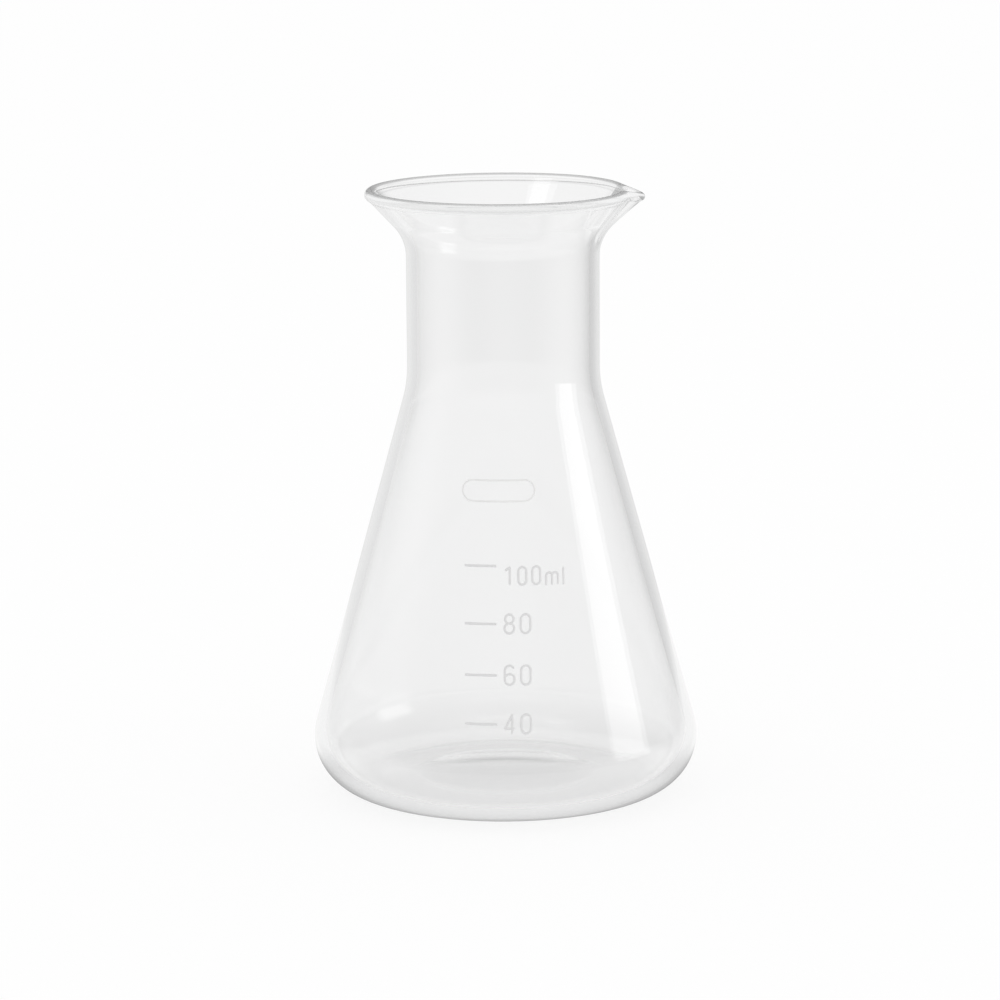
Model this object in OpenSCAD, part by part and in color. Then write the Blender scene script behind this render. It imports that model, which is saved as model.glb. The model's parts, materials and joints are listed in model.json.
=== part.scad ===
// Conical laboratory flask of blown glass, 100 ml, wide neck, with a pouring spout
// and a scale of fired-on enamel lines.
// Z is the axis. The foot stands on Z = 0, the scale faces -Y and the spout points to +X.

/* [Body] */
// Overall height, from the foot to the lip
flask_h = 105; // [100:0.5:112]
// Outer diameter at the widest part of the body
body_d = 66.8; // [60:0.2:74]
// Thickness of the side wall
wall = 1.8; // [1.2:0.1:2.2]
// Radius of the rounded heel, outside
heel_r = 9.4; // [7:0.2:12]
// Radius of the rounded heel, inside
heel_in_r = 7.6; // [5:0.2:9]

/* [Base] */
// Thickness of the base
base_t = 2.1; // [1.5:0.1:3]
// Diameter of the pushed-up middle, inside the ring that the flask stands on
punt_d = 32; // [20:0.5:36]
// Rise of the pushed-up middle
punt_h = 1.3; // [0.6:0.1:2.5]

/* [Neck] */
// Outer diameter of the neck
neck_d = 33.2; // [30:0.2:38]
// Height at which the cone's side would meet the neck without its blend
shoulder_z = 71.6; // [64:0.2:76]
// Radius of the blend between the cone and the neck
shoulder_r = 21.5; // [10:0.5:36]

/* [Mouth] */
// Outer diameter of the lip
rim_d = 47.2; // [44:0.2:50]
// Angle of the flare, measured from upright
flare_angle = 44.5; // [38:0.5:52]
// Radius of the blend between the neck and the flare
flare_r = 8; // [3:0.5:12]
// Thickness of the rounded lip
lip_d = 1.9; // [1.4:0.1:2.6]

/* [Spout] */
// How far the spout's tip stands out past the round lip
spout_reach = 0.9; // [0.3:0.1:2.5]
// How far the spout's tip dips below the lip
spout_dip = 0.9; // [0.2:0.1:2]
// Half of the angle over which the spout's channel is pressed
spout_half = 16; // [12:1:30]
// How far the lip is drawn in beside the spout
pinch = 1.85; // [0:0.05:2.5]
// Half of the angle over which the lip is drawn in
pinch_half = 66; // [45:3:84]

/* [Scale] */
// Height of the 100 ml line
line_100_z = 44.1; // [41:0.1:47]
// Height of the 80 ml line
line_80_z = 34.7; // [32:0.1:38]
// Height of the 60 ml line
line_60_z = 26.4; // [24:0.1:29]
// Height of the 40 ml line
line_40_z = 18.5; // [15:0.1:21]
// Length of each line
line_len = 5.5; // [3:0.1:12]
// Stroke width of each line
line_w = 0.4; // [0.25:0.05:0.8]
// Distance from the middle of the scale to the near end of each line
line_inset = 1.4; // [0.5:0.1:3]
// Thickness of the fired enamel
enamel_t = 0.08; // [0.04:0.01:0.2]

/* [Marking spot] */
// Height of the middle of the spot's outline
spot_z = 56.3; // [52:0.1:60]
// Width of the spot's outline
spot_w = 12.6; // [8:0.2:18]
// Height of the spot's outline
spot_h = 3.8; // [2.4:0.1:6]
// Stroke width of the spot's outline
spot_stroke = 0.25; // [0.15:0.05:0.5]
// Sideways place of the spot's middle
spot_x = -1; // [-2:0.1:2]

/* [Hidden] */
$fn = 96;

glass_colour = [0.92, 0.94, 0.94, 0.35];
enamel_colour = [0.86, 0.86, 0.84];

// Steps along a long arc and along a short one
long_steps = 14;
short_steps = 8;

body_r = body_d / 2;
neck_r = neck_d / 2;
punt_r = punt_d / 2;
lip_r = lip_d / 2;

// The heel's centre, and the half angle of the cone: its side runs from the neck's corner
// and touches the heel's circle
heel_c = [body_r - heel_r, heel_r];
corner_drop = shoulder_z - heel_c.y;
corner_run = heel_c.x - neck_r;
cone_angle = atan(corner_run / corner_drop) + asin(heel_r / norm([corner_run, corner_drop]));
cone_normal = [cos(cone_angle), sin(cone_angle)];

// The heel inside, which touches the floor and the inner side of the cone
heel_in_z = base_t + heel_in_r;
inner_side = heel_c * cone_normal + heel_r - wall;
heel_in_c = [(inner_side - heel_in_r - heel_in_z * cone_normal.y) / cone_normal.x, heel_in_z];

// The blend between cone and neck turns about one centre outside and inside
shoulder_c = [neck_r + shoulder_r, shoulder_z + shoulder_r * tan(cone_angle / 2)];

// The flare's outer side touches the lip's circle, and its blend turns about one centre
lip_c = [rim_d / 2 - lip_r, flask_h - lip_r];
flare_normal = [cos(flare_angle), -sin(flare_angle)];
flare_side = lip_c * flare_normal + lip_r;
flare_c_x = neck_r + flare_r;
flare_foot_z = (flare_c_x * flare_normal.x - flare_side - flare_r) / sin(flare_angle);
flare_c = [flare_c_x, flare_foot_z];
// Extra turn of a lip that is thicker than the wall, to where it meets the inner side
lip_turn = acos(min(1, (wall - lip_r) / lip_r));

// Columns of the pressed mouth round the axis, and the steps along its lip, along each
// of its bends and along each straight run
mouth_columns = 60;
lip_steps = 8;
bend_steps = 5;
run_steps = 2;
// The round wall goes one step up the flare's bend. The mouth takes over there: its foot is
// let into the wall, and it is a little thicker where it comes out of it
let_in_depth = 0.5;
swell = 0.06;
take_over_angle = flare_angle / bend_steps;
// The spout's pressing starts there too, and fades in with this power of the height
press_foot_z = flare_foot_z + (flare_r + wall) * sin(take_over_angle);
fade_power = 1.25;

scale_front = -90;

// Points of an arc about c
function arc(c, r, from, to, steps) = [
    for (i = [0:steps])
        let (a = from + (to - from) * i / steps)
        c + r * [cos(a), sin(a)]
];

// Points between two given ones, without the ends, and a stretch of a list of points
function between(p, q, steps) = [for (i = [1:steps - 1]) p + (q - p) * i / steps];
function part_of(points, first, last) = [for (i = [first:last]) points[i]];

// The pushed-up middle as half an arc, from the axis out
punt_sphere_r = (punt_r * punt_r + punt_h * punt_h) / (2 * punt_h);
function punt_curve(lift) = [
    for (i = [0:short_steps])
        let (r = punt_r * i / short_steps)
        [r, lift + punt_h - punt_sphere_r + sqrt(punt_sphere_r * punt_sphere_r - r * r)]
];

// The outside and the inside of the flare's bend, up to a given angle
function bend_outside(angle, steps) = arc(flare_c, flare_r, 180, 180 - angle, steps);
function bend_inside(angle, steps) = arc(flare_c, flare_r + wall, 180 - angle, 180, steps);

// A point of the bend's plane by its distance from the bend's centre and its angle
function bend_point(r, angle) = flare_c + r * [-cos(angle), sin(angle)];

function outer_body() = concat(
    punt_curve(0),
    arc(heel_c, heel_r, -90, cone_angle, long_steps),
    arc(shoulder_c, shoulder_r, 180 + cone_angle, 180, short_steps)
);
function inner_body() = concat(
    arc(shoulder_c, shoulder_r + wall, 180, 180 + cone_angle, short_steps),
    arc(heel_in_c, heel_in_r, cone_angle, -90, long_steps),
    [for (i = [short_steps:-1:0]) punt_curve(base_t)[i]]
);

// A smooth hump of height 1 over the angles on both sides of the spout's middle
function hump(angle, half) = abs(angle) < half ? pow(cos(90 * angle / half), 2) : 0;

// Where a point of the round mouth ends up once the spout is pressed
function pressed(p, angle) =
    let (
        height = max(0, (p.y - press_foot_z) / (flask_h - press_foot_z)),
        share = pow(height, fade_power),
        tip = hump(angle, spout_half),
        drawn = hump(angle, pinch_half),
        r = p.x + share * ((spout_reach + pinch) * tip - pinch * drawn),
        z = p.y - share * share * spout_dip * tip
    )
    [r * cos(angle), r * sin(angle), z];

// One column of the mouth's mesh: up the outside, over the lip and down the inside
function mouth_outline() =
    let (
        outside = bend_outside(flare_angle, bend_steps),
        lip = arc(lip_c, lip_r, -flare_angle, 180 - flare_angle + lip_turn, lip_steps),
        inside = bend_inside(flare_angle, bend_steps)
    )
    concat(
        [bend_point(flare_r + let_in_depth, 0), bend_point(flare_r - swell, take_over_angle)],
        part_of(outside, 2, bend_steps),
        between(outside[bend_steps], lip[0], run_steps),
        lip,
        between(lip[lip_steps], inside[0], run_steps),
        part_of(inside, 0, bend_steps - 2),
        [
            bend_point(flare_r + wall + swell, take_over_angle),
            bend_point(flare_r + wall - let_in_depth, 0)
        ]
    );

// The flared mouth with its spout, as columns side by side all the way round the axis
module mouth() {
    outline = mouth_outline();
    n = len(outline);
    points = [
        for (c = [0:mouth_columns - 1])
            for (p = outline)
                pressed(p, 360 * c / mouth_columns - 180)
    ];
    faces = [
        for (c = [0:mouth_columns - 1])
            for (i = [0:n - 1])
                let (j = (i + 1) % n, a = c * n, b = (c + 1) % mouth_columns * n)
                each [[a + i, a + j, b + j], [a + i, b + j, b + i]]
    ];
    polyhedron(points, faces);
}

// The blown wall below the mouth: base, heel, cone, shoulder and neck, revolved
module round_wall() {
    rotate_extrude()
        polygon(concat(
            outer_body(),
            bend_outside(take_over_angle, 1),
            bend_inside(take_over_angle, 1),
            inner_body()
        ));
}

// The glass
module vessel() {
    color(glass_colour)
        union() {
            round_wall();
            mouth();
        }
}

// Outer radius of the cone at a height
function cone_r(z) = neck_r + (shoulder_z - z) * tan(cone_angle);

// Section of a film of enamel that lies on the cone between two heights
module enamel_section(low, high) {
    film = enamel_t * cone_normal;
    foot = [cone_r(low), low];
    head = [cone_r(high), high];
    polygon([foot, foot + film, head + film, head]);
}

// One line of the scale, left of the middle as one reads it
module graduation_line(z) {
    near_angle = asin(line_inset / cone_r(z));
    far_angle = asin((line_inset + line_len) / cone_r(z));
    color(enamel_colour)
        rotate([0, 0, scale_front - far_angle])
            rotate_extrude(angle = far_angle - near_angle)
                enamel_section(z - line_w / 2, z + line_w / 2);
}

// A plain outline with round ends, spot_w by spot_h
module spot_outline(shrink) {
    r = spot_h / 2 - shrink;
    reach = (spot_w - spot_h) / 2;
    union() {
        for (side = [-1, 1])
            translate([side * reach, 0])
                circle(r);
        square([2 * reach, 2 * r], center = true);
    }
}

// An empty frame to write in, printed above the scale
module marking_spot() {
    color(enamel_colour)
        intersection() {
            rotate_extrude()
                enamel_section(spot_z - spot_h, spot_z + spot_h);
            translate([spot_x, 0, spot_z])
                rotate([90, 0, 0])
                    linear_extrude(body_d)
                        difference() {
                            spot_outline(0);
                            spot_outline(spot_stroke);
                        }
        }
}

vessel();
graduation_line(line_100_z);  // graduation_line_100
graduation_line(line_80_z);  // graduation_line_80
graduation_line(line_60_z);  // graduation_line_60
graduation_line(line_40_z);  // graduation_line_40
marking_spot();
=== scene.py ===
# %% [markdown]
# # A conical laboratory flask in clear glass
#
# This lesson dresses the measured model of a 100 ml conical flask. The real thing is one piece of
# blown glass with a scale of white enamel fired on to it, so nearly all of its looks come from
# three things: the exact shape of the wall, the way light bends through it, and a pale studio
# for it to stand in. Each step below is a cell: first the thought, then the code.

# %% Open the frame
import json
import math

import bpy
from mathutils import Euler, Matrix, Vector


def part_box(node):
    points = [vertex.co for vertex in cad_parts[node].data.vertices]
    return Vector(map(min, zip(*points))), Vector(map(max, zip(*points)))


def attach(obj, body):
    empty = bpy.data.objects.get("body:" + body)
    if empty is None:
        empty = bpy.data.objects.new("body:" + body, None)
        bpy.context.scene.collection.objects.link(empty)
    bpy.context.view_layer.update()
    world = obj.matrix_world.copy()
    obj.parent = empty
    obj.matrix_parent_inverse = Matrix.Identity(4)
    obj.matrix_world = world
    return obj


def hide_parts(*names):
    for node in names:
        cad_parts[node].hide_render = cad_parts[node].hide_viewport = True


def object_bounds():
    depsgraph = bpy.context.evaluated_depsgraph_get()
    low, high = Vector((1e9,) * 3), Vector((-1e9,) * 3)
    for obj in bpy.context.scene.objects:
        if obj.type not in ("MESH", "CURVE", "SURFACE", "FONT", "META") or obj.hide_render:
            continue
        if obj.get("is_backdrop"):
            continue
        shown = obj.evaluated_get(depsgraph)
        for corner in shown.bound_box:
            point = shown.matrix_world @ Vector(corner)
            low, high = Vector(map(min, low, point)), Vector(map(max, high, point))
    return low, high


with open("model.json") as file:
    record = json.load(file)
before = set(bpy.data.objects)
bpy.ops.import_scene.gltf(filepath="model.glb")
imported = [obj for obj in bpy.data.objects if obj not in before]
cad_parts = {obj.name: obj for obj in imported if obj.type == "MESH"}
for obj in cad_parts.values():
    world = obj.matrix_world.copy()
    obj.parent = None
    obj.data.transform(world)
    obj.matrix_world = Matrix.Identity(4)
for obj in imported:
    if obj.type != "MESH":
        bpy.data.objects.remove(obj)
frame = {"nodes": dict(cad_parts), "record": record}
cad_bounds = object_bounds()
print("nodes in the frame:", sorted(frame["nodes"]))

MM = 0.001

# %% [markdown]
# The sizes are those of the construction, in metres. What the frame can tell, it tells: the
# overall height comes from its box and the bore of the neck from its mount. The rest are the named
# sizes of the flask. The bead of the lip turns a little further round than the flare asks, so that
# its lower edge shows as a soft step, and the pushed-up middle of the base fades out at its edge.

# %% Sizes of the glass
high_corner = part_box("vessel")[1]
mounts = {mount["name"]: mount for mount in frame["record"]["mounts"]}

FLASK_H = high_corner.z
BODY_R = 33.4 * MM
NECK_IN_R = mounts["neck_bore"]["dims"]["r_mm"] * MM
WALL = 1.8 * MM
NECK_R = NECK_IN_R + WALL
HEEL_R = 9.4 * MM
HEEL_IN_R = 7.6 * MM
BASE_T = 2.1 * MM
PUNT_R = 16 * MM
PUNT_H = 1.3 * MM
PUNT_FADE = 1.2
SHOULDER_Z = 71.6 * MM
SHOULDER_R = 21.5 * MM
RIM_R = 23.6 * MM
LIP_R = 0.95 * MM
BEAD_TURN = math.radians(30)
FLARE_ANGLE = math.radians(44.5)
FLARE_R = 8 * MM
PRESS_START = FLARE_ANGLE / 5
print(f"flask {FLASK_H / MM:.1f} mm high, neck {2 * NECK_R / MM:.1f} mm wide")

# %% [markdown]
# The side of the cone runs from the neck's corner and touches the heel's circle, so its angle
# follows from the two. The inside is the same curve moved in by the wall, apart from the heel,
# which has its own radius there. The pressing of the spout starts a fifth of the way up the bend of
# the flare.

# %% Centres and angles of the outline
heel_c = (BODY_R - HEEL_R, HEEL_R)
corner_run = heel_c[0] - NECK_R
corner_drop = SHOULDER_Z - heel_c[1]
corner_line = math.hypot(corner_run, corner_drop)
CONE_ANGLE = math.atan(corner_run / corner_drop) + math.asin(HEEL_R / corner_line)
COS_CONE = math.cos(CONE_ANGLE)
SIN_CONE = math.sin(CONE_ANGLE)

heel_in_z = BASE_T + HEEL_IN_R
inner_side = heel_c[0] * COS_CONE + heel_c[1] * SIN_CONE + HEEL_R - WALL
heel_in_c = ((inner_side - HEEL_IN_R - heel_in_z * SIN_CONE) / COS_CONE, heel_in_z)

shoulder_c = (NECK_R + SHOULDER_R, SHOULDER_Z + SHOULDER_R * math.tan(CONE_ANGLE / 2))

lip_c = (RIM_R - LIP_R, FLASK_H - LIP_R)
flare_side = lip_c[0] * math.cos(FLARE_ANGLE) - lip_c[1] * math.sin(FLARE_ANGLE) + LIP_R
flare_c_x = NECK_R + FLARE_R
FLARE_FOOT = (flare_c_x * math.cos(FLARE_ANGLE) - flare_side - FLARE_R) / math.sin(FLARE_ANGLE)
flare_c = (flare_c_x, FLARE_FOOT)
PRESS_FOOT = FLARE_FOOT + (FLARE_R + WALL) * math.sin(PRESS_START)
LIP_TURN = math.acos(min(1, (WALL - LIP_R) / LIP_R))
print(f"cone leans {math.degrees(CONE_ANGLE):.2f} degrees")
print(f"flare starts at {FLARE_FOOT / MM:.1f} mm, pressing at {PRESS_FOOT / MM:.1f} mm")

# %% [markdown]
# An outline is a list of points in the plane of radius and height. Round stretches are arcs, and
# straight ones get points too: smooth shading bends the light near the end of a long face, so a
# few extra rings there keep the cone's refraction clean.

# %% Outline of the glass
PUNT_STEPS = 14
HEEL_STEPS = 28
SHOULDER_STEPS = 12
BEND_STEPS = 14
LIP_STEPS = 32
STRAIGHT_STEPS = 10


def arc(centre, radius, start, end, steps):
    """Points on an arc in the plane of radius and height."""
    angles = [start + (end - start) * i / steps for i in range(steps + 1)]
    return [(centre[0] + radius * math.cos(a), centre[1] + radius * math.sin(a)) for a in angles]


def straight(p, q, steps):
    """Points between p and q, packed a little closer near both ends."""
    shares = [0.5 - 0.5 * math.cos(math.pi * i / steps) for i in range(1, steps)]
    return [(p[0] + (q[0] - p[0]) * s, p[1] + (q[1] - p[1]) * s) for s in shares]


def punt(lift, steps):
    """The pushed-up middle of the base, from the axis out."""
    shares = [i / steps for i in range(steps + 1)]
    return [(PUNT_R * share, lift + PUNT_H * (1 - share ** 2) ** PUNT_FADE) for share in shares]


def joined(stretches, steps):
    """Strings stretches together with straight runs between them."""
    points = list(stretches[0])
    for stretch in stretches[1:]:
        points += straight(points[-1], stretch[0], steps)
        points += stretch
    return points


half_turn = math.pi
heel_start = -math.pi / 2
lip_end = half_turn - FLARE_ANGLE + LIP_TURN
outside = [
    punt(0, PUNT_STEPS),
    arc(heel_c, HEEL_R, heel_start, CONE_ANGLE, HEEL_STEPS),
    arc(shoulder_c, SHOULDER_R, half_turn + CONE_ANGLE, half_turn, SHOULDER_STEPS),
    arc(flare_c, FLARE_R, half_turn, half_turn - FLARE_ANGLE, BEND_STEPS),
]
lip = arc(lip_c, LIP_R, -FLARE_ANGLE - BEAD_TURN, lip_end, LIP_STEPS)
inside = [
    arc(flare_c, FLARE_R + WALL, half_turn - FLARE_ANGLE, half_turn, BEND_STEPS),
    arc(shoulder_c, SHOULDER_R + WALL, half_turn, half_turn + CONE_ANGLE, SHOULDER_STEPS),
    arc(heel_in_c, HEEL_IN_R, CONE_ANGLE, heel_start, HEEL_STEPS),
    punt(BASE_T, PUNT_STEPS)[::-1],
]
outline = joined(outside + [lip] + inside, STRAIGHT_STEPS)
print("points in the outline:", len(outline))

# %% [markdown]
# Node trees are built in the script. One helper adds a node with its settings and plugs in what
# it reads, so that a tree stays short enough to follow. An input may be a number or a socket. Four
# smaller helpers sit on top of it: sums, smooth ramps, white light of a level, and a mix of two
# shaders.

# %% Helpers for nodes
def node(tree, kind, settings=None, inputs=None):
    """Adds a node, applies its settings and fills its inputs with values or sockets."""
    made = tree.nodes.new(kind)
    for name, value in (settings or {}).items():
        setattr(made, name, value)
    for key, value in (inputs or {}).items():
        if isinstance(value, bpy.types.NodeSocket):
            tree.links.new(value, made.inputs[key])
        else:
            made.inputs[key].default_value = value
    return made


def maths(tree, operation, *values):
    """A Math node, as its output socket."""
    made = node(tree, "ShaderNodeMath", {"operation": operation}, dict(enumerate(values)))
    return made.outputs[0]


def ramp(tree, value, start, end, low, high):
    """A smooth change from low to high while value goes from start to end."""
    inputs = {"Value": value, "From Min": start, "From Max": end, "To Min": low, "To Max": high}
    return node(tree, "ShaderNodeMapRange", {"interpolation_type": "SMOOTHSTEP"}, inputs).outputs[0]


def glow(tree, level):
    """White light of a level that may change from place to place."""
    inputs = {"Color": (1, 1, 1, 1), "Strength": level}
    return node(tree, "ShaderNodeEmission", {}, inputs).outputs[0]


def axes(tree, vector):
    """The x, y and z of a vector, as three sockets."""
    return node(tree, "ShaderNodeSeparateXYZ", {}, {0: vector}).outputs


def chosen(tree, share, first, second):
    """The second shader by a share, and the first for the rest."""
    return node(tree, "ShaderNodeMixShader", {}, {0: share, 1: first, 2: second}).outputs[0]


print("helpers ready:", [helper.__name__ for helper in (node, maths, ramp, glow, axes, chosen)])

# %% [markdown]
# A tree of Geometry Nodes gets named inputs for its sizes. An object carries it as a modifier just
# long enough to be evaluated. The result is kept as a plain mesh.

# %% Helpers for whole trees
def new_tree(name, kind, inputs, outputs):
    """A node group with named sockets. Each input is (name, type, default)."""
    tree = bpy.data.node_groups.new(name, kind)
    for label, socket_type, default in inputs:
        socket = tree.interface.new_socket(label, in_out="INPUT", socket_type=socket_type)
        if default is not None:
            socket.default_value = default
    for label, socket_type in outputs:
        tree.interface.new_socket(label, in_out="OUTPUT", socket_type=socket_type)
    return tree


def run_tree(obj, tree, values):
    """Runs a tree on an object, with its inputs set by identifier, and keeps a plain mesh."""
    modifier = obj.modifiers.new(tree.name, "NODES")
    modifier.node_group = tree
    for item in tree.interface.items_tree:
        if item.in_out == "INPUT" and item.name in values:
            modifier[item.identifier] = values[item.name]
    depsgraph = bpy.context.evaluated_depsgraph_get()
    mesh = bpy.data.meshes.new_from_object(obj.evaluated_get(depsgraph))
    made = bpy.data.objects.new(obj.name, mesh)
    name = obj.name
    bpy.data.objects.remove(obj)
    made.name = name
    mesh.name = name
    bpy.context.scene.collection.objects.link(made)
    return made


def finished_mesh(tree, geometry, material, outlet):
    """The end of each tree: smooth shading, real geometry and its material."""
    smooth = node(tree, "GeometryNodeSetShadeSmooth", {}, {0: geometry})
    real = node(tree, "GeometryNodeRealizeInstances", {}, {0: smooth.outputs[0]})
    inputs = {"Geometry": real.outputs[0], "Material": material}
    finished = node(tree, "GeometryNodeSetMaterial", {}, inputs)
    leave = node(tree, "NodeGroupOutput")
    tree.links.new(finished.outputs[0], leave.inputs[outlet])


print("helpers ready:", [helper.__name__ for helper in (new_tree, run_tree, finished_mesh)])

# %% [markdown]
# ## Glass
#
# Borosilicate glass bends light a little less than window glass, and it is a touch grey where one
# looks along the wall. Principled glass with a thin absorbing volume gives both: the middle stays
# clear, and the edges, where a ray travels further inside, go darker. Blown glass is never quite
# even, so a group shared by the glass and the enamel gives a slow ripple for the normal. For the
# enamel it also gives the haze of its roughness. The glass is fire-polished and has none.

# %% Group: slow ripple and haze
def ripple_group():
    tree = new_tree(
        "ripple_and_haze",
        "ShaderNodeTree",
        [
            ("Wave length", "NodeSocketFloat", 0.02),
            ("Ripple height", "NodeSocketFloat", 0.00001),
            ("Haze low", "NodeSocketFloat", 0.0),
            ("Haze high", "NodeSocketFloat", 0.02),
        ],
        [("Roughness", "NodeSocketFloat"), ("Normal", "NodeSocketVector")],
    )
    entry = node(tree, "NodeGroupInput")
    place = node(tree, "ShaderNodeTexCoord")
    pitch = maths(tree, "DIVIDE", 1.0, entry.outputs["Wave length"])
    wave = node(
        tree,
        "ShaderNodeTexNoise",
        {"noise_dimensions": "3D"},
        {"Vector": place.outputs["Object"], "Scale": pitch, "Detail": 1.0, "Roughness": 0.4},
    )
    bump = node(
        tree,
        "ShaderNodeBump",
        {},
        {"Height": wave.outputs[0], "Strength": 1.0, "Distance": entry.outputs["Ripple height"]},
    )
    cloud = node(
        tree,
        "ShaderNodeTexNoise",
        {"noise_dimensions": "3D"},
        {"Vector": place.outputs["Object"], "Scale": 90.0, "Detail": 4.0, "Roughness": 0.6},
    )
    haze = node(
        tree,
        "ShaderNodeMapRange",
        {},
        {
            "Value": cloud.outputs[0],
            "From Min": 0.35,
            "From Max": 0.75,
            "To Min": entry.outputs["Haze low"],
            "To Max": entry.outputs["Haze high"],
        },
    )
    leave = node(tree, "NodeGroupOutput")
    tree.links.new(haze.outputs[0], leave.inputs["Roughness"])
    tree.links.new(bump.outputs[0], leave.inputs["Normal"])
    return tree


RIPPLE = ripple_group()
print("group:", RIPPLE.name)

# %% [markdown]
# A ray that meets the glass at a low angle can be caught between the two sides of the wall and run
# along inside it like light in a fibre. On the real flask it gets out somewhere further on. The
# renderer gives up on it after a few mirrorings and would call it black. So the glass answers such
# a ray with a level of its own: bright in the thin wall, darker in the thick base and in the lip.
#
# The lip's rounding draws two fine grey lines of shade round it, one along its crown and a fainter
# one below the middle of its bead. The even level of the trapped rays washes them out, so they are
# put back as painted shade: a dim glow on the glass, mixed in over a narrow band of heights.

# %% Levels inside the glass
TRAPPED_AFTER = 3
STRAY_IN_BASE = 0.74
STRAY_IN_WALL = 0.95
STRAY_IN_LIP = 0.55
STRAY_BASE_TOP = 2.5 * MM
STRAY_WALL_FOOT = 6 * MM
STRAY_WALL_TOP = FLASK_H - 3.5 * MM
STRAY_LIP_FOOT = FLASK_H - 1.5 * MM
# painted shade: two bands, at the crown and below the bead, where the glass shows a dim glow for
# the lip's grey lines
CROWN_SHADE_H = 0.19 * MM
CROWN_SHADE_SHARE = 0.55
BEAD_SHADE_Z = FLASK_H - 1.25 * MM
BEAD_SHADE_H = 0.22 * MM
BEAD_SHADE_SHARE = 0.2
PAINTED_LINE_SHADE_LEVEL = 0.38


def stray_level(tree, height):
    """How bright a trapped ray is, by the height at which the renderer gives up on it."""
    level = ramp(tree, height, STRAY_BASE_TOP, STRAY_WALL_FOOT, STRAY_IN_BASE, STRAY_IN_WALL)
    return ramp(tree, height, STRAY_WALL_TOP, STRAY_LIP_FOOT, level, STRAY_IN_LIP)


def painted_line_shade_share(tree, height):
    """How much of the painted shade of the lip's grey lines shows at a height: at the crown and
    below the bead.
    """
    crown_foot = FLASK_H - 2 * CROWN_SHADE_H
    crown = ramp(tree, height, crown_foot, crown_foot + CROWN_SHADE_H, 0.0, CROWN_SHADE_SHARE)
    low = BEAD_SHADE_Z - BEAD_SHADE_H
    high = BEAD_SHADE_Z + BEAD_SHADE_H
    bead = ramp(tree, height, low, BEAD_SHADE_Z, 0.0, BEAD_SHADE_SHARE)
    bead = ramp(tree, height, BEAD_SHADE_Z, high, bead, 0.0)
    return maths(tree, "MAXIMUM", crown, bead)


print(f"lip lines at {FLASK_H / MM:.2f} and {BEAD_SHADE_Z / MM:.2f} mm")

# %% Clear glass
GLASS_TONE = (0.99, 0.99, 0.99, 1)
GLASS_BODY = (0.9, 0.905, 0.905, 1)
GLASS_DENSITY = 40.0
GLASS_IOR = 1.473
GLASS_WAVE = 18 * MM
GLASS_RIPPLE = 0.004 * MM


def clear_glass():
    material = bpy.data.materials.new("clear_glass")
    material.use_nodes = True
    tree = material.node_tree
    shader = tree.nodes["Principled BSDF"]
    shader.inputs["Base Color"].default_value = GLASS_TONE
    shader.inputs["IOR"].default_value = GLASS_IOR
    shader.inputs["Transmission Weight"].default_value = 1.0
    shader.inputs["Metallic"].default_value = 0.0
    shader.inputs["Roughness"].default_value = 0.0
    wave = {"Wave length": GLASS_WAVE, "Ripple height": GLASS_RIPPLE}
    ripple = node(tree, "ShaderNodeGroup", {"node_tree": RIPPLE}, wave)
    tree.links.new(ripple.outputs["Normal"], shader.inputs["Normal"])

    rays = node(tree, "ShaderNodeLightPath")
    trapped = maths(tree, "GREATER_THAN", rays.outputs["Glossy Depth"], TRAPPED_AFTER - 0.5)
    height = axes(tree, node(tree, "ShaderNodeTexCoord").outputs["Object"])[2]
    surface = chosen(tree, trapped, shader.outputs[0], glow(tree, stray_level(tree, height)))
    # painted shade of the lip's grey lines: a dim glow mixed in over two bands of heights
    surface = chosen(tree, painted_line_shade_share(tree, height), surface, glow(tree, PAINTED_LINE_SHADE_LEVEL))

    inside_glass = {"Color": GLASS_BODY, "Density": GLASS_DENSITY}
    body = node(tree, "ShaderNodeVolumeAbsorption", {}, inside_glass)
    out = tree.nodes["Material Output"]
    tree.links.new(surface, out.inputs["Surface"])
    tree.links.new(body.outputs[0], out.inputs["Volume"])
    return material


GLASS = clear_glass()
print("material:", GLASS.name)

# %% [markdown]
# ## Enamel
#
# The scale is white enamel, printed and fired. It is opaque, a little uneven in thickness and
# slightly glossy. Against a bright ground the print looks pale grey, because the ground behind it
# is brighter than the light that falls on it from the front. A fine grain mixes the full tone with
# that of a thinner print. The frame above the scale is the paler of the two enamels.

# %% Fired enamel
ENAMEL_IOR = 1.5
ENAMEL_GRAIN = {"Scale": 2600.0, "Detail": 3.0, "Roughness": 0.65}
ENAMEL_RIPPLE = {
    "Wave length": 0.6 * MM,
    "Ripple height": 0.02 * MM,
    "Haze low": 0.3,
    "Haze high": 0.55,
}


def fired_enamel(name, colour, thin_colour):
    material = bpy.data.materials.new(name)
    material.use_nodes = True
    tree = material.node_tree
    shader = tree.nodes["Principled BSDF"]
    place = node(tree, "ShaderNodeTexCoord")
    grain = node(
        tree,
        "ShaderNodeTexNoise",
        {"noise_dimensions": "3D"},
        {"Vector": place.outputs["Object"], **ENAMEL_GRAIN},
    )
    tone = node(
        tree,
        "ShaderNodeMix",
        {"data_type": "RGBA"},
        {"Factor": grain.outputs[0], "A": thin_colour, "B": colour},
    )
    tree.links.new(tone.outputs["Result"], shader.inputs["Base Color"])
    shader.inputs["IOR"].default_value = ENAMEL_IOR
    ripple = node(tree, "ShaderNodeGroup", {"node_tree": RIPPLE}, ENAMEL_RIPPLE)
    tree.links.new(ripple.outputs["Roughness"], shader.inputs["Roughness"])
    tree.links.new(ripple.outputs["Normal"], shader.inputs["Normal"])
    return material


ENAMEL = fired_enamel("scale_enamel", (0.74, 0.74, 0.74, 1), (0.67, 0.67, 0.67, 1))
SPOT_ENAMEL = fired_enamel("spot_enamel", (0.83, 0.83, 0.82, 1), (0.78, 0.78, 0.77, 1))
print("materials:", ENAMEL.name, SPOT_ENAMEL.name)

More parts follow.
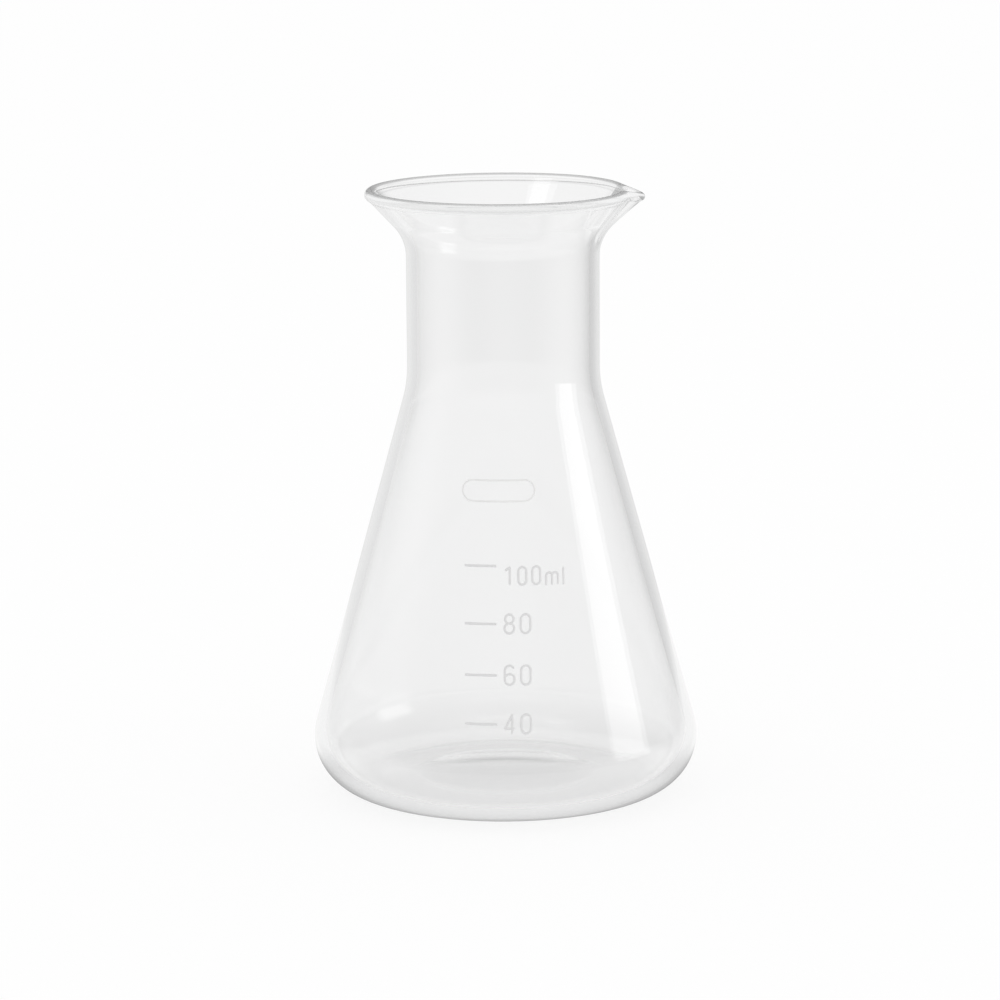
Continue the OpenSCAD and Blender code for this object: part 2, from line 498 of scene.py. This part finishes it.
# %% [markdown]
# ## The vessel
#
# A glass blower's flask is a revolved wall whose mouth is pressed at one place: the soft lip is
# drawn in on both sides and pulled out and down between them, which leaves a channel to pour by.
# It could be a Screw modifier with hand-moved points, but the shape follows a rule, so Geometry
# Nodes make it: a grid whose rows are the outline's points and whose columns go round the axis.
# Each column reads the same outline, and the rule for the spout moves it by its angle and height.
# The rule starts at the press foot, so the neck and the cone below it stay perfectly round.

# %% Sizes of the spout
SPOUT_REACH = 0.9 * MM
SPOUT_DIP = 0.9 * MM
SPOUT_HALF = math.radians(16)
PINCH = 1.85 * MM
PINCH_HALF = math.radians(66)
FADE_POWER = 1.25
COLUMNS = 288
SEAM_GAP = 0.001 * MM
print(f"spout reaches {SPOUT_REACH / MM:.1f} mm out and dips {SPOUT_DIP / MM:.1f} mm")

# %% Tree: a revolved wall with a pressed spout
def hump(tree, angle, half):
    """A smooth hump of height 1 that has died away at the half angle."""
    share = maths(tree, "MINIMUM", maths(tree, "DIVIDE", maths(tree, "ABSOLUTE", angle), half), 1.0)
    wave = maths(tree, "COSINE", maths(tree, "MULTIPLY", share, math.pi / 2))
    return maths(tree, "MULTIPLY", wave, wave)


def vessel_tree():
    tree = new_tree(
        "blown_vessel",
        "GeometryNodeTree",
        [
            ("Outline", "NodeSocketGeometry", None),
            ("Columns", "NodeSocketInt", 96),
            ("Press foot", "NodeSocketFloat", 0.09),
            ("Lip height", "NodeSocketFloat", 0.1),
            ("Reach", "NodeSocketFloat", 0.001),
            ("Dip", "NodeSocketFloat", 0.001),
            ("Spout half angle", "NodeSocketFloat", 0.3),
            ("Pinch", "NodeSocketFloat", 0.002),
            ("Pinch half angle", "NodeSocketFloat", 1.0),
            ("Fade power", "NodeSocketFloat", 1.25),
            ("Material", "NodeSocketMaterial", None),
        ],
        [("Vessel", "NodeSocketGeometry")],
    )
    entry = node(tree, "NodeGroupInput")
    sizes = entry.outputs
    count = node(tree, "GeometryNodeAttributeDomainSize", {}, {"Geometry": sizes["Outline"]})
    rows = count.outputs["Point Count"]
    seam_columns = maths(tree, "ADD", sizes["Columns"], 1.0)
    grid = node(
        tree,
        "GeometryNodeMeshGrid",
        {},
        {"Vertices X": seam_columns, "Vertices Y": rows},
    )
    index = node(tree, "GeometryNodeInputIndex").outputs[0]
    row = maths(tree, "MODULO", index, rows)
    column = maths(tree, "FLOOR", maths(tree, "DIVIDE", maths(tree, "ADD", index, 0.5), rows))
    position = node(tree, "GeometryNodeInputPosition")
    sample = node(
        tree,
        "GeometryNodeSampleIndex",
        {"data_type": "FLOAT_VECTOR", "domain": "POINT"},
        {"Geometry": sizes["Outline"], "Value": position.outputs[0], "Index": row},
    )
    point = axes(tree, sample.outputs[0])
    part = maths(tree, "DIVIDE", column, sizes["Columns"])
    angle = maths(tree, "SUBTRACT", maths(tree, "MULTIPLY", part, 2 * math.pi), math.pi)

    rise = maths(tree, "SUBTRACT", point[2], sizes["Press foot"])
    reach_up = maths(tree, "SUBTRACT", sizes["Lip height"], sizes["Press foot"])
    height = maths(tree, "MAXIMUM", maths(tree, "DIVIDE", rise, reach_up), 0.0)
    share = maths(tree, "POWER", height, sizes["Fade power"])
    tip = hump(tree, angle, sizes["Spout half angle"])
    drawn = hump(tree, angle, sizes["Pinch half angle"])
    out = maths(tree, "MULTIPLY", maths(tree, "ADD", sizes["Reach"], sizes["Pinch"]), tip)
    pulled = maths(tree, "SUBTRACT", out, maths(tree, "MULTIPLY", sizes["Pinch"], drawn))
    radius = maths(tree, "ADD", point[0], maths(tree, "MULTIPLY", share, pulled))
    fall = maths(tree, "MULTIPLY", maths(tree, "MULTIPLY", share, share), sizes["Dip"])
    level = maths(tree, "SUBTRACT", point[2], maths(tree, "MULTIPLY", fall, tip))

    place = node(
        tree,
        "ShaderNodeCombineXYZ",
        {},
        {
            0: maths(tree, "MULTIPLY", radius, maths(tree, "COSINE", angle)),
            1: maths(tree, "MULTIPLY", radius, maths(tree, "SINE", angle)),
            2: level,
        },
    )
    moved = node(
        tree,
        "GeometryNodeSetPosition",
        {},
        {"Geometry": grid.outputs["Mesh"], "Position": place.outputs[0]},
    )
    sealed = node(
        tree,
        "GeometryNodeMergeByDistance",
        {},
        {"Geometry": moved.outputs[0], "Distance": SEAM_GAP},
    )
    finished_mesh(tree, sealed.outputs[0], sizes["Material"], "Vessel")
    return tree


VESSEL_TREE = vessel_tree()
print("tree:", VESSEL_TREE.name)

# %% [markdown]
# The outline is handed to the tree as a mesh of points and edges. The signed volume of the result
# tells which way its faces look, and how much glass there is.

# %% Blow the vessel
CUBIC_METRE_ML = 1e6


def signed_volume(mesh):
    """Volume inside a closed mesh, negative where its faces point inwards."""
    mesh.calc_loop_triangles()
    total = 0.0
    for triangle in mesh.loop_triangles:
        a, b, c = (mesh.vertices[i].co for i in triangle.vertices)
        total += a.dot(b.cross(c)) / 6
    return total


def blow_vessel():
    profile = bpy.data.meshes.new("vessel_outline")
    edges = [(i, i + 1) for i in range(len(outline) - 1)]
    profile.from_pydata([(r, 0, z) for r, z in outline], edges, [])
    holder = bpy.data.objects.new("flask_glass", profile)
    bpy.context.scene.collection.objects.link(holder)
    values = {
        "Columns": COLUMNS,
        "Press foot": PRESS_FOOT,
        "Lip height": FLASK_H,
        "Reach": SPOUT_REACH,
        "Dip": SPOUT_DIP,
        "Spout half angle": SPOUT_HALF,
        "Pinch": PINCH,
        "Pinch half angle": PINCH_HALF,
        "Fade power": FADE_POWER,
        "Material": GLASS,
    }
    made = run_tree(holder, VESSEL_TREE, values)
    if signed_volume(made.data) < 0:
        made.data.flip_normals()
    return made


vessel = blow_vessel()
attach(vessel, "root")
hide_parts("vessel")
glass_ml = signed_volume(vessel.data) * CUBIC_METRE_ML
print(f"glass: {glass_ml:.2f} ml, {len(vessel.data.polygons)} faces")

# %% [markdown]
# ## The scale
#
# A printed scale is drawn with a pen of one width, so each line, figure and letter is a stroke.
# The strokes are laid out flat, as on the printing screen, with x along the print and y up the
# slope of the cone. A second tree gives each stroke its width, a domed section and round ends,
# and then wraps it on to the cone, where its flat underside lies on the glass. The 100 ml print is
# narrower than the others, stands a little below its line and sags towards its end.

# %% Sizes of the scale
LINE_HEIGHTS = {"100": 44.1 * MM, "80": 34.7 * MM, "60": 26.4 * MM, "40": 18.5 * MM}
LINE_LEN = 5.5 * MM
LINE_INSET = 1.4 * MM
LINE_W = 0.4 * MM
FIGURE_W = 1.62 * MM
FIGURE_H = 3.2 * MM
FIGURE_GAP = 1.12 * MM
FIGURE_START = -0.1 * MM
FIGURE_STROKE = 0.36 * MM
NARROW_W = 1.36 * MM
NARROW_H = 3.0 * MM
NARROW_DROP = 0.2 * MM
NARROW_GAP = 1.02 * MM
SAG_OF_M = 0.28 * MM
SAG_OF_L = 1.4 * SAG_OF_M
LETTER_H = 2.1 * MM
LETTER_M_W = 2.1 * MM
FILM = 0.08 * MM
SPOT_Z = 56.3 * MM
SPOT_W = 12.6 * MM
SPOT_H = 3.8 * MM
SPOT_STROKE = 0.25 * MM
SPOT_X = -1.0 * MM


def cone_radius(z):
    """Outer radius of the cone at a height."""
    return NECK_R + (SHOULDER_Z - z) * math.tan(CONE_ANGLE)


print(f"cone's radius at the 100 ml line: {cone_radius(LINE_HEIGHTS['100']) / MM:.2f} mm")

# %% [markdown]
# The figures are narrow, round-cornered and all of one stroke. Each is a short recipe of straight
# runs and arcs in a box of its own width and height, so one recipe serves both figure widths.

# %% Strokes of the figures
END_STRETCH = 1.15


def turn(cx, cy, rx, ry, start, end, steps=12):
    """Points on an arc of an ellipse. Angles are in degrees."""
    angles = [math.radians(start + (end - start) * i / steps) for i in range(steps + 1)]
    return [(cx + rx * math.cos(a), cy + ry * math.sin(a)) for a in angles]


def loop(w, low, high):
    """A closed oval with straight sides, w wide, between two heights."""
    r = w / 2
    ry = min(r * END_STRETCH, (high - low) / 2)
    return turn(r, high - ry, r, ry, 0, 180) + turn(r, low + ry, r, ry, 180, 360)


def figure_0(w, h):
    return [(loop(w, 0, h), True)]


def figure_1(w, h):
    stem = w * 0.68
    flag = (w * 0.12, h * 0.8)
    return [([flag, (stem, h), (stem, 0)], False)]


def figure_4(w, h):
    bar = h * 0.27
    stem = w * 0.74
    return [([(stem, 0), (stem, h), (0, bar), (w, bar)], False)]


def figure_6(w, h):
    r = w / 2
    waist = h * 0.56
    low_r = r * 1.1
    high_r = r * 0.9
    tail = turn(r, h - r, r, r, 25, 180)
    bowl = turn(r, low_r, r, low_r, 180, 360) + turn(r, waist - high_r, r, high_r, 0, 165)
    return [(tail + bowl, False)]


def figure_8(w, h):
    waist = h * 0.53
    shrink = w * 0.06
    share = (w - 2 * shrink) / w
    top = [(shrink + x * share, y) for x, y in loop(w, waist, h)]
    return [(loop(w, 0, waist), True), (top, True)]


def letter_m(w, h):
    arch = w / 4
    left = [(0, 0), (0, h - arch)] + turn(arch, h - arch, arch, arch, 180, 0) + [(w / 2, 0)]
    right = turn(w / 2 + arch, h - arch, arch, arch, 180, 0) + [(w, 0)]
    return [(left, False), (right, False)]


def letter_l(h):
    return [([(0, 0), (0, h)], False)]


RECIPES = {"0": figure_0, "1": figure_1, "4": figure_4, "6": figure_6, "8": figure_8}


def figures(text, w, gap, h):
    """Strokes of a number, from x = 0, standing on y = 0, and the x where the next one starts."""
    strokes = []
    x = 0.0
    for character in text:
        for points, closed in RECIPES[character](w, h):
            strokes.append(([(x + px, py) for px, py in points], closed))
        x += w + gap
    return strokes, x


print("figures drawn:", sorted(RECIPES))

# %% [markdown]
# The stroke's tree sweeps a round section along each stroke. Near an open end the section shrinks
# as a half circle would, which rounds the end. Then each point is put on the cone: x becomes an
# angle, y goes up the slope, and what lay above the plane becomes the enamel's thickness.

# %% Tree: a stroke of enamel on the cone
SECTION_POINTS = 12
STEPS_PER_WIDTH = 6.0
LEAST_SWELL = 0.01


def stroke_tree():
    tree = new_tree(
        "enamel_stroke",
        "GeometryNodeTree",
        [
            ("Strokes", "NodeSocketGeometry", None),
            ("Stroke width", "NodeSocketFloat", 0.0004),
            ("Film", "NodeSocketFloat", 0.0001),
            ("Base height", "NodeSocketFloat", 0.03),
            ("Base radius", "NodeSocketFloat", 0.03),
            ("Lean", "NodeSocketFloat", 0.2),
            ("Material", "NodeSocketMaterial", None),
        ],
        [("Enamel", "NodeSocketGeometry")],
    )
    entry = node(tree, "NodeGroupInput")
    sizes = entry.outputs
    half_width = maths(tree, "DIVIDE", sizes["Stroke width"], 2.0)
    step = maths(tree, "DIVIDE", sizes["Stroke width"], STEPS_PER_WIDTH)
    curves = node(tree, "GeometryNodeMeshToCurve", {}, {0: sizes["Strokes"]})
    fine = node(
        tree,
        "GeometryNodeResampleCurve",
        {"mode": "LENGTH"},
        {"Curve": curves.outputs[0], "Length": step},
    )
    along = node(tree, "GeometryNodeSplineParameter").outputs["Length"]
    whole = node(tree, "GeometryNodeSplineLength").outputs["Length"]
    cyclic = node(tree, "GeometryNodeInputSplineCyclic").outputs[0]
    from_end = maths(tree, "MINIMUM", along, maths(tree, "SUBTRACT", whole, along))
    from_end = maths(tree, "ADD", from_end, cyclic)
    depth = maths(tree, "MINIMUM", maths(tree, "DIVIDE", from_end, half_width), 1.0)
    beyond = maths(tree, "SUBTRACT", 1.0, depth)
    roundness = maths(tree, "SUBTRACT", 1.0, maths(tree, "MULTIPLY", beyond, beyond))
    roundness = maths(tree, "SQRT", maths(tree, "MAXIMUM", roundness, LEAST_SWELL))
    swell = maths(tree, "MULTIPLY", roundness, half_width)
    upright = {"mode": "Z_UP"}
    level_curve = node(tree, "GeometryNodeSetCurveNormal", upright, {"Curve": fine.outputs[0]})
    section = node(
        tree,
        "GeometryNodeCurvePrimitiveCircle",
        {"mode": "RADIUS"},
        {"Resolution": SECTION_POINTS, "Radius": 1.0},
    )
    tube = node(
        tree,
        "GeometryNodeCurveToMesh",
        {},
        {
            "Curve": level_curve.outputs[0],
            "Profile Curve": section.outputs["Curve"],
            "Scale": swell,
            "Fill Caps": True,
        },
    )
    here = axes(tree, node(tree, "GeometryNodeInputPosition").outputs[0])
    lift = maths(tree, "DIVIDE", maths(tree, "MAXIMUM", here[2], 0.0), half_width)
    lift = maths(tree, "MULTIPLY", lift, sizes["Film"])
    cos_lean = maths(tree, "COSINE", sizes["Lean"])
    sin_lean = maths(tree, "SINE", sizes["Lean"])
    inward = maths(tree, "MULTIPLY", here[1], sin_lean)
    side_r = maths(tree, "SUBTRACT", sizes["Base radius"], inward)
    radius = maths(tree, "ADD", side_r, maths(tree, "MULTIPLY", lift, cos_lean))
    level = maths(tree, "ADD", sizes["Base height"], maths(tree, "MULTIPLY", here[1], cos_lean))
    level = maths(tree, "ADD", level, maths(tree, "MULTIPLY", lift, sin_lean))
    angle = maths(tree, "DIVIDE", here[0], side_r)
    forward = maths(tree, "MULTIPLY", radius, maths(tree, "COSINE", angle))
    place = node(
        tree,
        "ShaderNodeCombineXYZ",
        {},
        {
            0: maths(tree, "MULTIPLY", radius, maths(tree, "SINE", angle)),
            1: maths(tree, "MULTIPLY", forward, -1.0),
            2: level,
        },
    )
    wrapped = node(
        tree,
        "GeometryNodeSetPosition",
        {},
        {"Geometry": tube.outputs[0], "Position": place.outputs[0]},
    )
    finished_mesh(tree, wrapped.outputs[0], sizes["Material"], "Enamel")
    return tree


STROKE_TREE = stroke_tree()
print("tree:", STROKE_TREE.name)

# %% [markdown]
# A print is a set of strokes at one height. Each becomes a mesh of points and edges that the tree
# turns into enamel. The four lines stand in for the ones of the construction, and the figures are
# pieces of their own beside them.

# %% Print the scale
def printed(name, z, strokes, width, material):
    """A print of enamel on the cone. Each stroke is a list of points and whether it closes."""
    points = []
    edges = []
    for stroke, closed in strokes:
        start = len(points)
        points += [(x, y, 0) for x, y in stroke]
        edges += [(i, i + 1) for i in range(start, len(points) - 1)]
        if closed:
            edges.append((len(points) - 1, start))
    mesh = bpy.data.meshes.new(name)
    mesh.from_pydata(points, edges, [])
    holder = bpy.data.objects.new(name, mesh)
    bpy.context.scene.collection.objects.link(holder)
    values = {
        "Stroke width": width,
        "Film": FILM,
        "Base height": z,
        "Base radius": cone_radius(z),
        "Lean": CONE_ANGLE,
        "Material": material,
    }
    made = run_tree(holder, STROKE_TREE, values)
    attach(made, "root")
    print(f"{name}: {len(made.data.polygons)} faces")
    return made


def shifted(strokes, dx, dy):
    """Strokes moved along and up the print."""
    return [([(x + dx, y + dy) for x, y in points], closed) for points, closed in strokes]


line_start = -(LINE_INSET + LINE_LEN)
line_end = -LINE_INSET
line_stroke = [([(line_start, 0), (line_end, 0)], False)]
for label, z in LINE_HEIGHTS.items():
    line = printed("scale_line_" + label, z, line_stroke, LINE_W, ENAMEL)
    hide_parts("graduation_line_" + label)

for label in ("80", "60", "40"):
    strokes, end = figures(label, FIGURE_W, FIGURE_GAP, FIGURE_H)
    strokes = shifted(strokes, FIGURE_START, -FIGURE_H / 2)
    number = printed("scale_figure_" + label, LINE_HEIGHTS[label], strokes, FIGURE_STROKE, ENAMEL)

strokes, end = figures("100", NARROW_W, NARROW_GAP, NARROW_H)
strokes += shifted(letter_m(LETTER_M_W, LETTER_H), end, -SAG_OF_M)
strokes += shifted(letter_l(NARROW_H), end + LETTER_M_W + NARROW_GAP, -SAG_OF_L)
strokes = shifted(strokes, FIGURE_START, -NARROW_H - NARROW_DROP)
number = printed("scale_figure_100_ml", LINE_HEIGHTS["100"], strokes, FIGURE_STROKE, ENAMEL)

# %% [markdown]
# Above the scale is a plain empty frame with round ends, the kind of spot that one writes on with a
# pencil. It is one closed stroke: two half circles, joined by straight runs.

# %% Print the marking spot
spot_r = (SPOT_H - SPOT_STROKE) / 2
spot_reach = (SPOT_W - SPOT_H) / 2
right_end = turn(spot_reach, 0, spot_r, spot_r, -90, 90, 20)
left_end = turn(-spot_reach, 0, spot_r, spot_r, 90, 270, 20)
spot_stroke = shifted([(right_end + left_end, True)], SPOT_X, 0)
spot = printed("marking_spot_frame", SPOT_Z, spot_stroke, SPOT_STROKE, SPOT_ENAMEL)
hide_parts("marking_spot")

# %% [markdown]
# ## The studio
#
# Clear glass shows its surroundings and little else. The photograph is a bright-field picture: the
# ground and the backdrop are white, and the room is darker above and to both sides, which draws the
# lip, the heel and the edges as grey lines. The world is white where the camera looks past the
# glass. Rays that have come through the glass see the room's own levels, and rays mirrored off it
# see a dimmer room with two soft boxes in it. A ray that was mirrored inside the glass and let out
# again sees a share of each.
#
# Directions are those of a ray that leaves the flask: x to the right, y away from the camera, z up.
# Each level changes smoothly between two values of one of them.

# %% Levels seen through the glass
THROUGH_LOW = 0.94
THROUGH_LEFT = 0.73
THROUGH_RIGHT = 0.54
THROUGH_HIGH = 0.25
SIDE_STARTS = 0.12
SIDE_ENDS = 0.7
HIGH_STARTS = 0.15
HIGH_ENDS = 0.6


def seen_through(tree, x):
    """Level near the ground, seen through the glass: brightest behind the flask."""
    left = ramp(tree, x, -SIDE_ENDS, -SIDE_STARTS, THROUGH_LEFT, THROUGH_LOW)
    return ramp(tree, x, SIDE_STARTS, SIDE_ENDS, left, THROUGH_RIGHT)


print(f"room through the glass: {THROUGH_LEFT}, {THROUGH_LOW}, {THROUGH_RIGHT} from left to right")

# %% Levels seen in reflections
MIRROR_FRONT = 0.15
MIRROR_LEFT = 0.82
MIRROR_RIGHT = 0.7
MIRROR_FRONT_ABOVE = 0.45
MIRROR_BACK_ABOVE = 0.03
MIRROR_SIDE_ABOVE = 1.05
MIRROR_OVERHEAD = 1.0
FRONT_ENDS = -0.95
ROOM_STARTS = -0.1
ABOVE_FRONT_ENDS = -0.6
ASIDE_STARTS = 0.2
ASIDE_ENDS = 0.5
OVERHEAD_STARTS = 0.8
OVERHEAD_ENDS = 0.95
GROUND_LINE = -0.01
ABOVE_STARTS = 0.08


def low_room(tree, x, y):
    """Level of the mirrored room near the ground, by direction from the flask."""
    side = ramp(tree, x, -1.0, 1.0, MIRROR_LEFT, MIRROR_RIGHT)
    return ramp(tree, y, FRONT_ENDS, ROOM_STARTS, MIRROR_FRONT, side)


def mirror_share(tree, rays, let_out):
    """How much of the dim room a ray sees: all off the outside, less once let out of the glass."""
    mirrored = maths(tree, "GREATER_THAN", rays.outputs["Glossy Depth"], 0.5)
    through = maths(tree, "MULTIPLY", rays.outputs["Is Transmission Ray"], let_out)
    return maths(tree, "MULTIPLY", mirrored, maths(tree, "SUBTRACT", 1.0, through))


print(f"room in reflections: {MIRROR_LEFT} on the left, {MIRROR_RIGHT} on the right")

# %% World
LET_OUT_AGAIN = 0.5
LET_OUT_ABOVE = 0.76
LET_OUT_STARTS = 0.02
LET_OUT_ENDS = 0.2


def studio_world():
    world = bpy.data.worlds.new("bright_field")
    bpy.context.scene.world = world
    world.use_nodes = True
    tree = world.node_tree
    tree.nodes.remove(tree.nodes["Background"])
    x, y, z = axes(tree, node(tree, "ShaderNodeTexCoord").outputs["Generated"])
    rays = node(tree, "ShaderNodeLightPath")
    transmitted = rays.outputs["Is Transmission Ray"]
    direct = maths(tree, "SUBTRACT", 1.0, transmitted)
    aside = maths(tree, "MULTIPLY", maths(tree, "ABSOLUTE", x), direct)
    above = ramp(tree, aside, ASIDE_STARTS, ASIDE_ENDS, MIRROR_BACK_ABOVE, MIRROR_SIDE_ABOVE)
    above = ramp(tree, y, ABOVE_FRONT_ENDS, ROOM_STARTS, MIRROR_FRONT_ABOVE, above)
    above = ramp(tree, z, OVERHEAD_STARTS, OVERHEAD_ENDS, above, MIRROR_OVERHEAD)
    mirrored = ramp(tree, z, GROUND_LINE, ABOVE_STARTS, low_room(tree, x, y), above)
    through = ramp(tree, z, HIGH_STARTS, HIGH_ENDS, seen_through(tree, x), THROUGH_HIGH)
    seen = chosen(tree, transmitted, glow(tree, 1.0), glow(tree, through))
    let_out = ramp(tree, z, LET_OUT_STARTS, LET_OUT_ENDS, LET_OUT_AGAIN, LET_OUT_ABOVE)
    seen = chosen(tree, mirror_share(tree, rays, let_out), seen, glow(tree, mirrored))
    tree.links.new(seen, tree.nodes["World Output"].inputs["Surface"])
    return world


print("world:", studio_world().name)

# %% [markdown]
# The ground is white and keeps the flask's soft shadow. The camera sees it as a steady white with a
# little shaded paint on top. Seen through the glass its glow goes by the distance from the axis:
# painted light under the base that lifts part of the paint's own shadow there, a touch lower under
# the middle, then the open ground behind the flask, which takes the room's levels further out. In
# reflections it has a painted shadow right under the flask and is bright close round it.

# %% Floor
FLOOR_DROP = 0.05 * MM
FLOOR_HALF = 6.0
PLAIN_GLOW = 0.9
PLAIN_PAINT = 0.09
GROUND_LIT = 0.3
# painted light under the base, seen through the glass: a glow that lifts the paint's shadow there,
# a touch lower under the punt
PAINTED_LIGHT_UNDER_PUNT = 0.825
PAINTED_LIGHT_UNDER_HEEL = 0.845
LET_OUT_BELOW = 0.9
MIRROR_GROUND_NEAR = 0.95
# painted shadow right under the flask, seen in reflections
MIRROR_PAINTED_SHADOW_UNDER = 0.25
PUNT_SHADE = (8 * MM, 24 * MM)
BASE_SHADE = (28 * MM, 38 * MM)
FOOT_SHADE = (30 * MM, 50 * MM)
OPEN_GROUND = (100 * MM, 350 * MM)
NEAR_GROUND = (185 * MM, 210 * MM)


def paint(tree, level):
    """Matt white paint of a level, which takes the flask's shadow."""
    return node(tree, "ShaderNodeBsdfDiffuse", {}, {"Color": (level, level, level, 1)}).outputs[0]


def painted_glow(tree, level, painted):
    """A steady glow with shaded paint on top."""
    inputs = {0: glow(tree, level), 1: paint(tree, painted)}
    return node(tree, "ShaderNodeAddShader", {}, inputs).outputs[0]


def studio_floor():
    material = bpy.data.materials.new("white_ground")
    material.use_nodes = True
    tree = material.node_tree
    tree.nodes.remove(tree.nodes["Principled BSDF"])
    place = {0: node(tree, "ShaderNodeTexCoord").outputs["Object"]}
    distance = node(tree, "ShaderNodeVectorMath", {"operation": "LENGTH"}, place).outputs["Value"]
    away = node(tree, "ShaderNodeVectorMath", {"operation": "NORMALIZE"}, place).outputs["Vector"]
    x, y, z = axes(tree, away)

    near = ramp(tree, distance, *NEAR_GROUND, MIRROR_GROUND_NEAR, low_room(tree, x, y))
    mirrored = ramp(tree, distance, *FOOT_SHADE, MIRROR_PAINTED_SHADOW_UNDER, near)
    far = maths(tree, "SUBTRACT", seen_through(tree, x), GROUND_LIT)
    far = ramp(tree, distance, *OPEN_GROUND, THROUGH_LOW - GROUND_LIT, far)
    # painted light under the base, handing over to the open ground's levels further out
    below = ramp(tree, distance, *PUNT_SHADE, PAINTED_LIGHT_UNDER_PUNT, PAINTED_LIGHT_UNDER_HEEL)
    painted_ground_levels = ramp(tree, distance, *BASE_SHADE, below, far)

    plain = painted_glow(tree, PLAIN_GLOW, PLAIN_PAINT)
    bent = painted_glow(tree, painted_ground_levels, GROUND_LIT)
    rays = node(tree, "ShaderNodeLightPath")
    seen = chosen(tree, rays.outputs["Is Transmission Ray"], plain, bent)
    let_out = ramp(tree, distance, *FOOT_SHADE, LET_OUT_BELOW, LET_OUT_AGAIN)
    seen = chosen(tree, mirror_share(tree, rays, let_out), seen, glow(tree, mirrored))
    tree.links.new(seen, tree.nodes["Material Output"].inputs["Surface"])

    mesh = bpy.data.meshes.new("floor")
    signs = [(-1, -1), (1, -1), (1, 1), (-1, 1)]
    corners = [(sx * FLOOR_HALF, sy * FLOOR_HALF, -FLOOR_DROP) for sx, sy in signs]
    mesh.from_pydata(corners, [], [(0, 1, 2, 3)])
    mesh.materials.append(material)
    floor = bpy.data.objects.new("floor", mesh)
    bpy.context.scene.collection.objects.link(floor)
    floor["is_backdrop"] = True
    return floor


floor = studio_floor()
print("floor:", floor.name)

# %% [markdown]
# The long light stripe down the right of the cone is the mirror image of a soft box. Where it lies
# on the cone tells where the box stands: the mirror law turns it into a direction to the right,
# a little in front, from table height upwards. The short bright patch inside the mouth gives a
# second, smaller box, high up on the left. Each box is given by its direction.

# %% Soft boxes
def soft_box(name, azimuth, elevation, distance, width, height, radiance):
    """A soft box that faces the flask. Its azimuth goes from the camera's side to the right."""
    light = bpy.data.lights.new(name, "AREA")
    light.shape = "RECTANGLE"
    light.size = width
    light.size_y = height
    light.energy = radiance * math.pi * width * height
    lamp = bpy.data.objects.new(name, light)
    turn_z = math.radians(azimuth)
    rise = math.radians(elevation)
    flat = distance * math.cos(rise)
    lamp.location = (flat * math.sin(turn_z), -flat * math.cos(turn_z), distance * math.sin(rise))
    lamp.rotation_euler = Euler((math.pi / 2 - rise, 0, turn_z))
    bpy.context.scene.collection.objects.link(lamp)
    return lamp


BOX_DISTANCE = 1.0
tall_box = {"azimuth": 81, "elevation": 12, "width": 0.46, "height": 0.52, "radiance": 1.35}
small_box = {"azimuth": -70, "elevation": 70, "width": 0.36, "height": 0.2, "radiance": 1.1}
soft_box("tall_box_right", distance=BOX_DISTANCE, **tall_box)
soft_box("small_box_overhead", distance=BOX_DISTANCE, **small_box)
print("soft boxes placed")

# %% [markdown]
# ## The camera
#
# A long lens from a little above, as the fitted outline gives it: the ellipses of foot and mouth
# open by a few degrees only. The picture is turned by a third of a degree. The lens is worked out
# from its focal length in pixels of the square picture.

# %% Camera
CAMERA_DISTANCE = 0.71445
CAMERA_HEIGHT = 0.19057
CAMERA_SIDE = -0.00073
CAMERA_PITCH = math.radians(11.079)
CAMERA_ROLL = math.radians(-0.35)
FOCAL_PX = 4200.4
PICTURE_PX = 1000
SENSOR_MM = 36
NEAREST = 0.01
FARTHEST = 50

camera_data = bpy.data.cameras.new("camera")
camera_data.sensor_width = SENSOR_MM
camera_data.lens = FOCAL_PX * SENSOR_MM / PICTURE_PX
camera_data.clip_start = NEAREST
camera_data.clip_end = FARTHEST
camera = bpy.data.objects.new("camera", camera_data)
camera.location = (CAMERA_SIDE, -CAMERA_DISTANCE, CAMERA_HEIGHT)
tilt = Euler((math.pi / 2 - CAMERA_PITCH, 0, 0)).to_matrix()
camera.rotation_euler = (tilt @ Matrix.Rotation(CAMERA_ROLL, 3, "Z")).to_euler()
bpy.context.scene.collection.objects.link(camera)
bpy.context.scene.camera = camera
bpy.context.scene.view_settings.view_transform = "Standard"
print(f"lens {camera_data.lens:.1f} mm")

# %% [markdown]
# ## Sizes side by side
#
# The sizes of the construction and of the dressed model are printed side by side, so that a
# difference between them is seen at once.

# %% Sizes side by side
visual_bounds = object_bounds()
sizes = {
    "cad": [list(corner) for corner in cad_bounds],
    "visual": [list(corner) for corner in visual_bounds],
}
for name, corners in sizes.items():
    print(name, [[round(value / MM, 2) for value in corner] for corner in corners])
